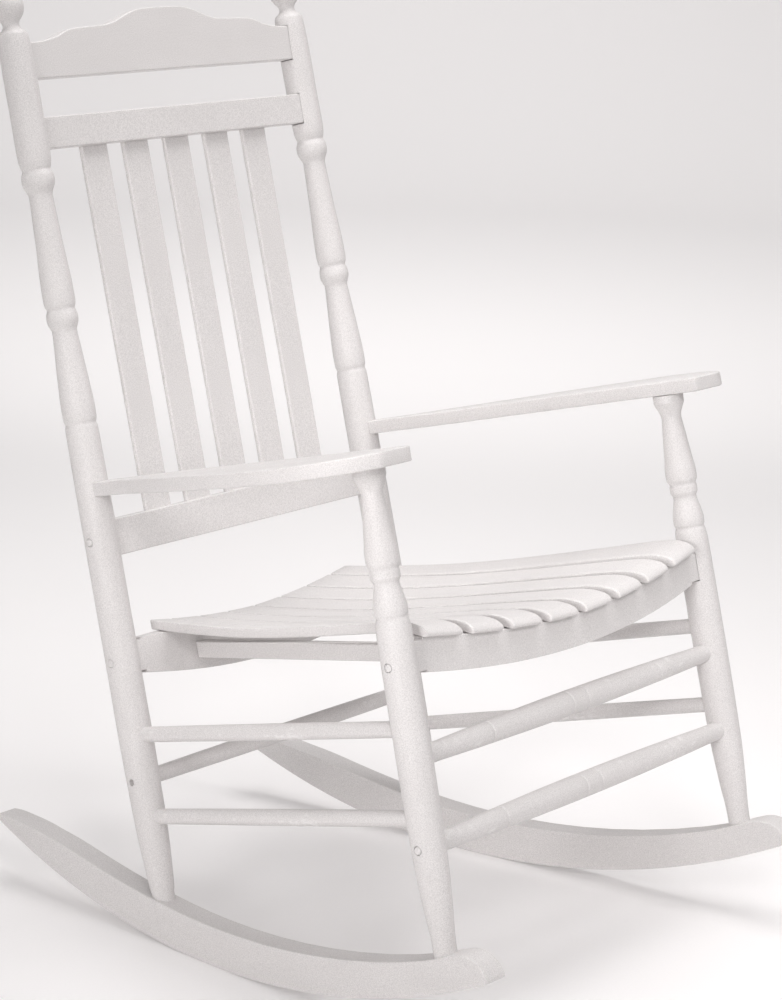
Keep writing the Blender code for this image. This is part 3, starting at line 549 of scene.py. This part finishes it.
def rocker(side_name, side, paints):
    steps = round((TAIL_ANGLE - NOSE_ANGLE) / ROCKER_STEP)
    angles = [NOSE_ANGLE + (TAIL_ANGLE - NOSE_ANGLE) * i / steps for i in range(steps + 1)]
    below = [arc_point(angle, ROCKER_RADIUS) for angle in angles]
    depths = [(math.asin((y - ROCKER_CENTRE_Y) / ROCKER_RADIUS), depth) for y, depth in ROCKER_DEPTHS]
    line = flowing(depths, SPAN_STEPS)
    above = [arc_point(angle, ROCKER_RADIUS - depth) for angle, depth in line]
    loop = below + above[::-1]
    loops = []
    for shift in (-ROCKER_THICK / 2, ROCKER_THICK / 2):
        loops.append([(side * (side_line(y) + shift), y, z) for y, z in loop])
    name = "rocker_" + side_name
    item = fit(name, lofted(name, loops), IN_PLACE, paints["rocker"], GRAIN_BACK)
    soften(item, ROCKER_EDGE)


def stretcher_profile(half, end_radius, middle_radius, rings):
    """A stretcher's profile about its middle, as (height, radius), swelling there, with cut rings."""
    swell = half - STRETCHER_PLAIN_END
    places = {half} | {swell * i / STRETCHER_CURVE_STEPS for i in range(STRETCHER_CURVE_STEPS + 1)}
    grooves = {}
    for ring in rings:
        grooves.update({ring - RING_HALF_WIDTH: 0.0, ring: RING_DEPTH, ring + RING_HALF_WIDTH: 0.0})
    places = {spot for spot in places if all(abs(spot - ring) > RING_CLEAR for ring in rings)}
    profile = []
    for spot in sorted(places | set(grooves)):
        share = max(0.0, 1 - spot / swell)
        radius = end_radius + (middle_radius - end_radius) * math.sin(share * math.pi / 2)
        profile.append((spot, radius - grooves.get(spot, 0.0)))
    low = [(-spot, radius) for spot, radius in profile if spot > 0]
    return profile[::-1] + low


def stretcher(name, ends, height, radii, rings, paints):
    start, end = (post_point(which, side, height) for which, side in ends)
    half = (end - start).length / 2 - STRETCHER_SHORT_OF_AXIS
    profile = smooth_profile(stretcher_profile(half, *radii, rings))
    matrix = aimed((start + end) / 2, end - start)
    fit(name, turned_mesh(name, profile), matrix, paints["stretcher"])


def stretchers(paints):
    for level, height in SIDE_STRETCHER_HEIGHTS.items():
        for side_name, side in SIDES:
            radii = (SIDE_STRETCHER_RADIUS, SIDE_STRETCHER_RADIUS + SIDE_STRETCHER_SWELL)
            ends = (("front", side), ("rear", side))
            stretcher(f"side_stretcher_{level}_{side_name}", ends, height, radii, (), paints)
    for level, height in FRONT_STRETCHER_HEIGHTS.items():
        radii = (FRONT_STRETCHER_END_RADIUS, FRONT_STRETCHER_MIDDLE_RADIUS)
        ends = (("front", -1), ("front", 1))
        stretcher(f"front_stretcher_{level}", ends, height, radii, RING_PLACES, paints)
    radii = (REAR_STRETCHER_RADIUS, REAR_STRETCHER_RADIUS + REAR_STRETCHER_SWELL)
    stretcher("rear_stretcher", (("rear", -1), ("rear", 1)), REAR_STRETCHER_HEIGHT, radii, (), paints)


def rail_mortises(which, side):
    """Sockets for the flat rails in one post, a little larger than the rails, so that a dark seam shows."""
    spans = [("front_rail", FRONT_RAIL_Y, FRONT_RAIL_TENON)]
    if which == "rear":
        spans = [("rear_rail", REAR_RAIL_Y, REAR_RAIL_TENON)]
        crest = (CREST_BOTTOM, CREST_OUTLINE[0][1])
        for name, levels in (("lower_rail", LOWER_RAIL), ("upper_rail", UPPER_RAIL), ("crest", crest)):
            middle = rail_y(sum(levels) / 2)
            spans.append((name, (middle + RAIL_FRONT, middle + RAIL_BACK), levels))
    found = []
    for name, ys, zs in spans:
        inner = rail_end_x(which, sum(zs) / 2) + MORTISE_GAP
        xs = sorted((side * inner, side * (inner - CUTTER_REACH)))
        ys = (ys[0] - MORTISE_GAP / 2, ys[1] + MORTISE_GAP / 2)
        mesh = box_mesh("mortise_" + name, xs, ys, (zs[0] - MORTISE_GAP, zs[1] + MORTISE_GAP / 2))
        found.append((mesh, IN_PLACE))
    return found


def screw_bores(which, side):
    """The part of each screw's hole that shows: a seam round a plug, or a narrower open hole."""
    found = []
    for kind, post_kind, height, plugged in CROSS_SCREWS:
        if post_kind != which:
            continue
        radius = post_radius(which, height)
        depth = PLUG_LENGTH if plugged else COUNTERBORE_DEPTH
        wide = COUNTERBORE_RADIUS + (PLUG_SEAM if plugged else -PLUG_SEAM)
        profile = ((radius + CUTTER_REACH, wide), (radius - depth, wide))
        mesh = turned_mesh("bore_" + kind, profile, BORE_SEGMENTS)
        found.append((mesh, aimed(post_point(which, side, height), (side, 0, 0))))
    return found


def post(which, side_name, side, paints):
    profile = smooth_profile(post_profile(which))
    if which == "front":
        profile = [(ARM_TENON_TOP, ARM_TENON_RADIUS), (profile[0][0], ARM_TENON_RADIUS)] + profile
    name = f"{which}_post_{side_name}"
    item = fit(name, turned_mesh(name, profile), along_post(which, side), paints["post"])
    cut(item, rail_mortises(which, side) + screw_bores(which, side))


def plug(kind, which, height, side_name, side, paints):
    radius = post_radius(which, height)
    inner_end = radius - PLUG_LENGTH + PLUG_GAP_BELOW
    profile = [(radius + up, COUNTERBORE_RADIUS * share) for up, share in PLUG_DOME]
    profile += [(inner_end, COUNTERBORE_RADIUS), (inner_end, 0.0)]
    name = f"{kind}_plug_{side_name}"
    matrix = aimed(post_point(which, side, height), (side, 0, 0))
    fit(name, turned_mesh(name, profile, BORE_SEGMENTS), matrix, paints["plug"])


def back_rail(name, levels, paints, top_outline=None):
    reach = rail_end_x("rear", sum(levels) / 2)
    middle = rail_y(sum(levels) / 2)
    outline = [(-reach, levels[0]), (reach, levels[0]), (reach, levels[1])]
    if top_outline:
        half = flowing(top_outline, SPAN_STEPS)
        outline += half + [(-x, z) for x, z in half[-2::-1]]
    outline.append((-reach, levels[1]))
    loops = [[(x, middle + depth, z) for x, z in outline] for depth in (RAIL_FRONT, RAIL_BACK)]
    item = fit(name, lofted(name, loops), IN_PLACE, paints["back"], GRAIN_ACROSS)
    soften(item, BOARD_EDGE)


def back_slat(number, centre, paints):
    low_y, high_y = rail_y(LOWER_RAIL[1]) + BACK_SLAT_FRONT, rail_y(UPPER_RAIL[0]) + BACK_SLAT_FRONT
    low, high = LOWER_RAIL[1] - BACK_SLAT_TENON, UPPER_RAIL[0] + BACK_SLAT_TENON
    half = BACK_SLAT_WIDTH / 2
    loops = []
    for behind in (0.0, BACK_SLAT_THICK):
        bottom = [(centre - half, low_y + behind, low), (centre + half, low_y + behind, low)]
        top = [(centre + half, high_y + behind, high), (centre - half, high_y + behind, high)]
        loops.append(bottom + top)
    name = f"back_slat_{number}"
    item = fit(name, lofted(name, loops), IN_PLACE, paints["back"])
    soften(item, SLAT_EDGE)


def rail_panels(steps):
    """Faces across the outline of a seat rail: low edge, tenon at +X, high edge, tenon at -X."""
    plus = steps + 1
    high = plus + 4
    minus = high + steps + 1
    panels = [(i, i + 1, minus - 2 - i, minus - 1 - i) for i in range(1, steps - 1)]
    panels.append((steps - 1, steps, plus, plus + 3, high, high + 1))
    panels.append((0, 1, minus - 2, minus - 1, minus, minus + 3))
    panels += [tuple(range(plus, plus + 4)), tuple(range(minus, minus + 4))]
    return panels


def seat_rail(name, which, ys, bottom, bow, tenon, shoulder, paints, face_bow=0.0, highest=math.inf):
    reach = rail_end_x(which, sum(tenon) / 2)
    steps = SEAT_RAIL_STEPS
    places = [-shoulder + 2 * shoulder * i / steps for i in range(steps + 1)]
    loops = []
    for y, forward in zip(ys, (face_bow, 0.0)):
        line = [(x, y - forward * (shoulder**2 - x * x)) for x in places]
        low = [(x, y, bottom + bow * x * x) for x, y in line]
        high = [(x, y, min(seat_under(x, y) - SEAT_GAP, highest)) for x, y in line[::-1]]
        corners = ((shoulder, tenon[0]), (reach, tenon[0]), (reach, tenon[1]), (shoulder, tenon[1]))
        plus = [(x, y, z) for x, z in corners]
        minus = [(-x, y, z) for x, y, z in plus[::-1]]
        loops.append(low + plus + high + minus)
    mesh = lofted(name, loops, rail_panels(steps))
    item = fit(name, mesh, IN_PLACE, paints["rail"], GRAIN_ACROSS)
    soften(item, BOARD_EDGE / 2)


def seat_side_rail(side_name, side, paints):
    front_y, rear_y = FRONT_RAIL_Y[1], REAR_RAIL_Y[0]
    loops = []
    for inward in (0.0, SIDE_RAIL_THICK):
        front_x, rear_x = side * (SIDE_RAIL_FRONT_X - inward), side * (SIDE_RAIL_REAR_X - inward)
        loops.append([
            (front_x, front_y, SIDE_RAIL_TOP_FRONT - SIDE_RAIL_HEIGHT),
            (rear_x, rear_y, SIDE_RAIL_TOP_REAR - SIDE_RAIL_HEIGHT),
            (rear_x, rear_y, SIDE_RAIL_TOP_REAR), (front_x, front_y, SIDE_RAIL_TOP_FRONT),
        ])
    name = "seat_side_rail_" + side_name
    item = fit(name, lofted(name, loops), IN_PLACE, paints["rail"], GRAIN_BACK)
    soften(item, BOARD_EDGE)


def slat_edge(edge, y):
    """Where the middle of a gap between slats, or an outer edge of the seat, runs, from the right."""
    from_middle = edge - SEAT_SLATS // 2
    count = abs(from_middle)
    front, rear = SEAT_FRONT_HALF_WIDTH, SEAT_REAR_HALF_WIDTH
    if count < len(SEAT_GAPS_FRONT):
        front, rear = SEAT_GAPS_FRONT[count], SEAT_GAPS_REAR[count]
    share = (y - SEAT_NOSE_Y) / (SEAT_REAR_Y - SEAT_NOSE_Y)
    return math.copysign(front + (rear - front) * share, from_middle)


def slat_gap(y):
    """The slats fan out, so the gaps between them widen to the front."""
    front, rear = SEAT_SLAT_GAPS
    return front + (rear - front) * (y - SEAT_NOSE_Y) / (SEAT_REAR_Y - SEAT_NOSE_Y)


def seat_slat(number, paints):
    """One seat slat, wider at the front, dished with the others, and rounded over the front rail."""
    span = SEAT_REAR_Y - SEAT_NOSE_CENTRE_Y
    shares = [(i / SEAT_STATIONS) ** SEAT_STATION_POWER for i in range(SEAT_STATIONS + 1)]
    ys = [SEAT_NOSE_CENTRE_Y + span * share for share in shares]
    profile = [(y, 0.0) for y in ys] + [(y, SEAT_SLAT_THICK) for y in ys[::-1]]
    for i in range(1, SEAT_NOSE_STEPS):
        turn = math.pi * i / SEAT_NOSE_STEPS
        y = SEAT_NOSE_CENTRE_Y + (SEAT_NOSE_Y - SEAT_NOSE_CENTRE_Y) * math.sin(turn)
        profile.append((y, SEAT_SLAT_THICK / 2 * (1 + math.cos(turn))))
    loops = []
    for column in range(SEAT_COLUMNS + 1):
        share = column / SEAT_COLUMNS
        loop = []
        for straight_y, up in profile:
            half_gap = slat_gap(straight_y) / 2
            low = slat_edge(number - 1, straight_y) + (half_gap if number > 1 else 0.0)
            high = slat_edge(number, straight_y) - (half_gap if number < SEAT_SLATS else 0.0)
            x = low + (high - low) * share
            y = bowed(x, straight_y)
            loop.append((x, y, seat_under(x, y) + up))
        loops.append(loop)
    name = f"seat_slat_{number}"
    item = fit(name, lofted(name, loops), IN_PLACE, paints["seat"], GRAIN_BACK)
    soften(item, SLAT_EDGE)
    if number in (1, SEAT_SLATS):
        side = -1 if number == 1 else 1
        xs = sorted((side * POST_NOTCH_X, side * (POST_NOTCH_X + CUTTER_REACH)))
        ys = (SEAT_NOSE_Y - CUTTER_REACH, POST_NOTCH_Y)
        corner = seat_under(POST_NOTCH_X, POST_NOTCH_Y)
        notch = box_mesh("notch", xs, ys, (corner - CUTTER_REACH, corner + CUTTER_REACH))
        cut(item, [(notch, IN_PLACE)])


def arm(side_name, side, paints):
    outline = []
    for start, end in zip(ARM_CORNERS, ARM_CORNERS[1:]):
        outline += flowing(ARM_OUTLINE[start:end + 1], SPAN_STEPS)[:-1]
    outline.append(ARM_OUTLINE[-1])
    loops = [[(side * x, y, z) for x, y in outline] for z in (ARM_BOTTOM, ARM_BOTTOM + ARM_THICK)]
    name = "arm_" + side_name
    item = fit(name, lofted(name, loops), IN_PLACE, paints["arm"], GRAIN_BACK)
    soften(item, ARM_EDGE)
    top = ARM_TENON_TOP + MORTISE_GAP / 2
    socket = turned_mesh("socket", ((top, ARM_TENON_RADIUS), (top - CUTTER_REACH, ARM_TENON_RADIUS)))
    heights = (ARM_BOTTOM + CUTTER_REACH, ARM_BOTTOM - CUTTER_REACH)
    cope = turned_mesh("cope", [(height, ARM_COPE_RADIUS) for height in heights])
    cut(item, [(socket, along_post("front", side)), (cope, along_post("rear", side))], ARM_CREASE)


def chair(paints):
    for side_name, side in SIDES:
        rocker(side_name, side, paints)
        for which in ("front", "rear"):
            post(which, side_name, side, paints)
        arm(side_name, side, paints)
        seat_side_rail(side_name, side, paints)
        for kind, which, height, plugged in CROSS_SCREWS:
            if plugged:
                plug(kind, which, height, side_name, side, paints)
    stretchers(paints)
    back_rail("crest_rail", (CREST_BOTTOM, CREST_OUTLINE[0][1]), paints, CREST_OUTLINE)
    back_rail("upper_back_rail", UPPER_RAIL, paints)
    back_rail("lower_back_rail", LOWER_RAIL, paints)
    for number, centre in enumerate(SLAT_CENTRES, 1):
        back_slat(number, centre, paints)
    seat_rail("front_seat_rail", "front", FRONT_RAIL_Y, FRONT_RAIL_BOTTOM, FRONT_RAIL_BOW, FRONT_RAIL_TENON,
              FRONT_RAIL_SHOULDER_X, paints, face_bow=SEAT_FRONT_BOW)
    seat_rail("rear_seat_rail", "rear", REAR_RAIL_Y, REAR_RAIL_BOTTOM, REAR_RAIL_BOW, REAR_RAIL_TENON,
              REAR_RAIL_SHOULDER_X, paints, highest=REAR_RAIL_TOP)
    for number in range(1, SEAT_SLATS + 1):
        seat_slat(number, paints)


# ---------------------------------------------------------------- materials


def nodes_of(name):
    material = bpy.data.materials.new(name)
    material.use_nodes = True
    tree = material.node_tree
    return material, tree, tree.nodes["Principled BSDF"]


def noise(tree, stretch, scale, detail, roughness=0.5):
    """Noise over the piece's own place, stretched along X, Y and Z."""
    place = tree.nodes.new("ShaderNodeTexCoord")
    mapping = tree.nodes.new("ShaderNodeMapping")
    mapping.inputs["Scale"].default_value = stretch
    pattern = tree.nodes.new("ShaderNodeTexNoise")
    pattern.inputs["Scale"].default_value = scale
    pattern.inputs["Detail"].default_value = detail
    pattern.inputs["Roughness"].default_value = roughness
    tree.links.new(place.outputs["Object"], mapping.inputs["Vector"])
    tree.links.new(mapping.outputs["Vector"], pattern.inputs["Vector"])
    return pattern.outputs["Fac"]


def spread(tree, value, source, result):
    """Maps a value from one range to another, clamped."""
    found = tree.nodes.new("ShaderNodeMapRange")
    for socket, number in zip(("From Min", "From Max", "To Min", "To Max"), (*source, *result)):
        found.inputs[socket].default_value = number
    tree.links.new(value, found.inputs["Value"])
    return found.outputs["Result"]


def blended(tree, share, first, second):
    """A colour between two, each a colour or a socket."""
    mix = tree.nodes.new("ShaderNodeMix")
    mix.data_type = "RGBA"
    tree.links.new(share, mix.inputs["Factor"])
    for socket, colour in ((mix.inputs["A"], first), (mix.inputs["B"], second)):
        if isinstance(colour, tuple):
            socket.default_value = (*colour, 1.0)
        else:
            tree.links.new(colour, socket)
    return mix.outputs["Result"]


def bumped(tree, height, distance, strength, before=None):
    bump = tree.nodes.new("ShaderNodeBump")
    bump.inputs["Distance"].default_value = distance
    bump.inputs["Strength"].default_value = strength
    tree.links.new(height, bump.inputs["Height"])
    if before:
        tree.links.new(before, bump.inputs["Normal"])
    return bump.outputs["Normal"]


def painted_wood(name, tone=1.0, scuffs=0.0):
    """White satin paint that lets the grain show a little, with brush marks, speckle and rubbed places."""
    material, tree, shader = nodes_of(name)
    light = tuple(tone * level for level in PAINT_LIGHT)
    dark = tuple(tone * level for level in PAINT_DARK)
    grain = noise(tree, stretch=(1.0, 1.0, 0.035), scale=420, detail=3, roughness=0.6)
    cloud = noise(tree, stretch=(1.0, 1.0, 0.4), scale=22, detail=3)
    speckle = noise(tree, stretch=EVEN, scale=800, detail=2, roughness=0.8)
    colour = blended(tree, spread(tree, cloud, (0.35, 0.65), (0.0, 0.55)), light, dark)
    colour = blended(tree, spread(tree, grain, (0.52, 0.78), (0.0, 0.35)), colour, dark)
    colour = blended(tree, spread(tree, speckle, (0.36, 0.66), (0.0, 1.0)), colour, PAINT_SPECKLE)
    if scuffs:
        rubbed = noise(tree, stretch=(1.0, 1.0, 0.5), scale=60, detail=4, roughness=0.65)
        colour = blended(tree, spread(tree, rubbed, (0.60, 0.72), (0.0, scuffs)), colour, PAINT_RUBBED)
    tree.links.new(colour, shader.inputs["Base Color"])
    tree.links.new(spread(tree, cloud, (0.3, 0.7), (0.40, 0.52)), shader.inputs["Roughness"])
    normal = bumped(tree, grain, distance=0.0003, strength=0.35)
    normal = bumped(tree, speckle, distance=0.00012, strength=0.3, before=normal)
    tree.links.new(normal, shader.inputs["Normal"])
    shader.inputs["Specular IOR Level"].default_value = 0.4
    return material


def zinc():
    material, tree, shader = nodes_of("zinc_plate")
    spots = noise(tree, stretch=EVEN, scale=900, detail=3)
    tree.links.new(blended(tree, spots, ZINC_DARK, ZINC_LIGHT), shader.inputs["Base Color"])
    tree.links.new(spread(tree, spots, (0.3, 0.7), (0.28, 0.5)), shader.inputs["Roughness"])
    shader.inputs["Metallic"].default_value = 1.0
    return material


def bare_wood():
    material, tree, shader = nodes_of("bare_wood")
    grain = noise(tree, stretch=(1.0, 1.0, 0.06), scale=700, detail=4, roughness=0.65)
    tree.links.new(blended(tree, grain, WOOD_LIGHT, WOOD_DARK), shader.inputs["Base Color"])
    tree.links.new(bumped(tree, grain, distance=0.0002, strength=0.4), shader.inputs["Normal"])
    shader.inputs["Roughness"].default_value = 0.62
    return material


def make_paints():
    return {
        "rocker": painted_wood("rocker_paint"),
        "post": painted_wood("post_paint"),
        "stretcher": painted_wood("stretcher_paint", scuffs=0.8),
        "rail": painted_wood("rail_paint"),
        "seat": painted_wood("seat_paint"),
        "back": painted_wood("back_paint"),
        "arm": painted_wood("arm_paint"),
        "plug": painted_wood("plug_paint", tone=0.98),
    }


def finish_hidden_parts():
    """Screws and dowels keep their CAD shape and get a material of their own."""
    metal, wood = zinc(), bare_wood()
    for name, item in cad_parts.items():
        if "screw" in name:
            item.data.materials[0] = metal
        if "dowel" in name:
            item.data.materials[0] = wood


# ---------------------------------------------------------------- studio


def bowl():
    """Floor and walls in one sweep, so that the paper looks the same behind the chair from all round."""
    cove = BOWL_RADIUS - BOWL_FLAT
    turns = [math.radians(90) * i / BOWL_STEPS for i in range(BOWL_STEPS + 1)]
    inner = [(0.0, 0.0), (0.0, BOWL_FLAT / 2)]
    inner += [(cove - cove * math.cos(a), BOWL_FLAT + cove * math.sin(a)) for a in turns]
    inner.append((BOWL_HEIGHT, BOWL_RADIUS))
    rim = BOWL_RADIUS + BOWL_THICK
    outer = [(BOWL_HEIGHT, rim), (-BOWL_THICK, rim), (-BOWL_THICK, 0.0)]
    mesh = turned_mesh("studio_bowl", inner + outer, BOWL_SEGMENTS)
    mesh.set_sharp_from_angle(angle=CREASE)
    item = bpy.data.objects.new("studio_bowl", mesh)
    bpy.context.scene.collection.objects.link(item)
    material, tree, shader = nodes_of("studio_paper")
    cloud = noise(tree, stretch=EVEN, scale=300, detail=2)
    paper = blended(tree, cloud, PAPER_DARK, PAPER_LIGHT)
    place = tree.nodes.new("ShaderNodeTexCoord")
    height = tree.nodes.new("ShaderNodeSeparateXYZ")
    tree.links.new(place.outputs["Object"], height.inputs["Vector"])
    # Up the cove the paper is painted darker: painted shade on the walls
    rise = spread(tree, height.outputs["Z"], (0.0, cove), (0.0, 1.0))
    tree.links.new(blended(tree, rise, paper, PAPER_PAINTED_SHADE), shader.inputs["Base Color"])
    # The paper glows though it is no lamp: painted light
    shader.inputs["Emission Color"].default_value = (*LAMP_COLOUR, 1.0)
    shader.inputs["Emission Strength"].default_value = PAPER_GLOW
    shader.inputs["Roughness"].default_value = 0.9
    shader.inputs["Specular IOR Level"].default_value = 0.1
    mesh.materials.append(material)
    item.visible_shadow = False


def lights():
    for name, place, target, width, beam, watts in LIGHTS:
        lamp = bpy.data.lights.new(name, "AREA")
        lamp.shape = "DISK"
        lamp.size = width
        lamp.spread = math.radians(beam)
        lamp.energy = watts
        lamp.color = LAMP_COLOUR
        item = bpy.data.objects.new(name, lamp)
        bpy.context.scene.collection.objects.link(item)
        item.matrix_world = aimed(place, Vector(place) - Vector(target))
        item.visible_camera = False
    world = bpy.data.worlds.new("studio")
    world.use_nodes = True
    surround = world.node_tree.nodes["Background"]
    surround.inputs["Color"].default_value = (*WORLD_COLOUR, 1.0)
    surround.inputs["Strength"].default_value = WORLD_STRENGTH
    bpy.context.scene.world = world
    bpy.context.scene.view_settings.view_transform = "Standard"


def camera():
    lens = bpy.data.cameras.new("camera")
    lens.lens = CAMERA_LENS
    lens.clip_end = CAMERA_FAR
    item = bpy.data.objects.new("camera", lens)
    bpy.context.scene.collection.objects.link(item)
    turn = Matrix.Rotation(CAMERA_LEAN, 4, "X") @ Matrix.Rotation(CAMERA_AZIMUTH, 4, "Z")
    item.matrix_world = Matrix.Translation(CAMERA_PLACE) @ turn @ Matrix.Rotation(CAMERA_TILT, 4, "X")
    bpy.context.scene.camera = item


camera()
lights()
bowl()
chair(make_paints())
finish_hidden_parts()
